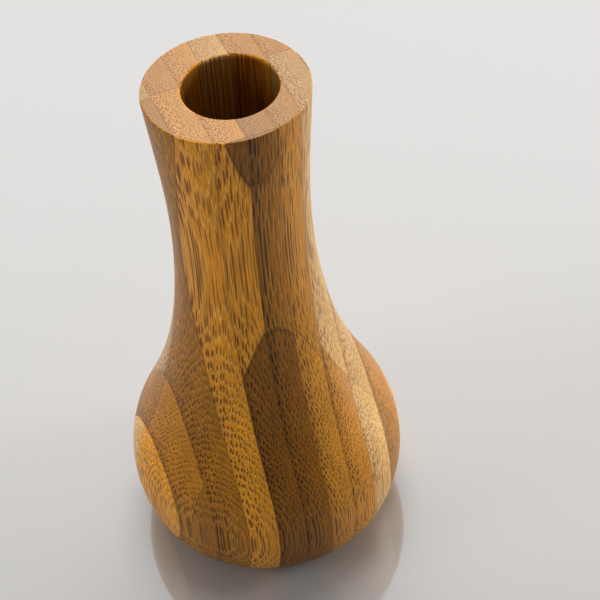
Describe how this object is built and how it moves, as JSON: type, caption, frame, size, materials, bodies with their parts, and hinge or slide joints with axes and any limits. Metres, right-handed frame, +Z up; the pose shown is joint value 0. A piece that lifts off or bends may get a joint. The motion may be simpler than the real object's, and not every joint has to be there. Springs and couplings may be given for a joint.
{
  "type": "bud vase",
  "caption": "Turned laminated bamboo bud vase: pear-shaped bulb, waisted neck with a flared thick rim, and a plain blind bore for a stem.",
  "frame": {"origin": "centre of the flat foot, on the surface the vase stands on", "axes": "+Z up along the turned axis; the picture was taken from the -Y side, with +X to its right"},
  "size_m": [0.07, 0.07, 0.1386],
  "materials": {
    "bamboo_pale": "natural pale bamboo, sanded, thin satin lacquer",
    "bamboo_gold": "golden bamboo, sanded, thin satin lacquer",
    "bamboo_amber": "amber bamboo, lightly steamed, thin satin lacquer",
    "bamboo_brown": "brown steamed bamboo, thin satin lacquer",
    "bamboo_dark": "dark carbonised bamboo, thin satin lacquer"
  },
  "bodies": {
    "root": {"layer_01_mid_back_strip": "bamboo_pale", "layer_01_mid_front_strip": "bamboo_gold", "layer_02_front_strip": "bamboo_brown", "layer_02_mid_back_strip": "bamboo_brown", "layer_02_mid_front_strip": "bamboo_amber", "layer_03_back_strip": "bamboo_gold", "layer_03_front_strip": "bamboo_brown", "layer_03_mid_back_strip_bulb": "bamboo_pale", "layer_03_mid_back_strip_rim": "bamboo_pale", "layer_03_mid_front_strip": "bamboo_brown", "layer_04_back_strip": "bamboo_brown", "layer_04_front_strip": "bamboo_gold", "layer_04_mid_back_strip": "bamboo_amber", "layer_04_mid_front_strip": "bamboo_gold", "layer_05_back_strip": "bamboo_pale", "layer_05_front_strip_bulb": "bamboo_dark", "layer_05_front_strip_rim": "bamboo_dark", "layer_05_mid_back_strip": "bamboo_gold", "layer_05_mid_front_strip": "bamboo_gold", "layer_06_back_strip": "bamboo_amber", "layer_06_front_strip_bulb": "bamboo_dark", "layer_06_front_strip_rim": "bamboo_dark", "layer_06_mid_back_strip": "bamboo_pale", "layer_06_mid_front_strip": "bamboo_brown", "layer_07_back_strip": "bamboo_dark", "layer_07_front_strip_bulb": "bamboo_gold", "layer_07_front_strip_rim": "bamboo_gold", "layer_07_mid_back_strip": "bamboo_amber", "layer_07_mid_front_strip": "bamboo_gold", "layer_08_back_strip": "bamboo_gold", "layer_08_front_strip": "bamboo_amber", "layer_08_mid_back_strip": "bamboo_amber", "layer_08_mid_front_strip": "bamboo_pale", "layer_09_front_strip": "bamboo_pale", "layer_09_mid_back_strip": "bamboo_brown", "layer_09_mid_front_strip_bulb": "bamboo_pale", "layer_09_mid_front_strip_rim": "bamboo_pale", "layer_10_front_strip": "bamboo_brown", "layer_10_mid_back_strip": "bamboo_gold", "layer_10_mid_front_strip": "bamboo_amber", "layer_11_mid_back_strip": "bamboo_brown", "layer_11_mid_front_strip": "bamboo_gold"}
  },
  "joints": []
}
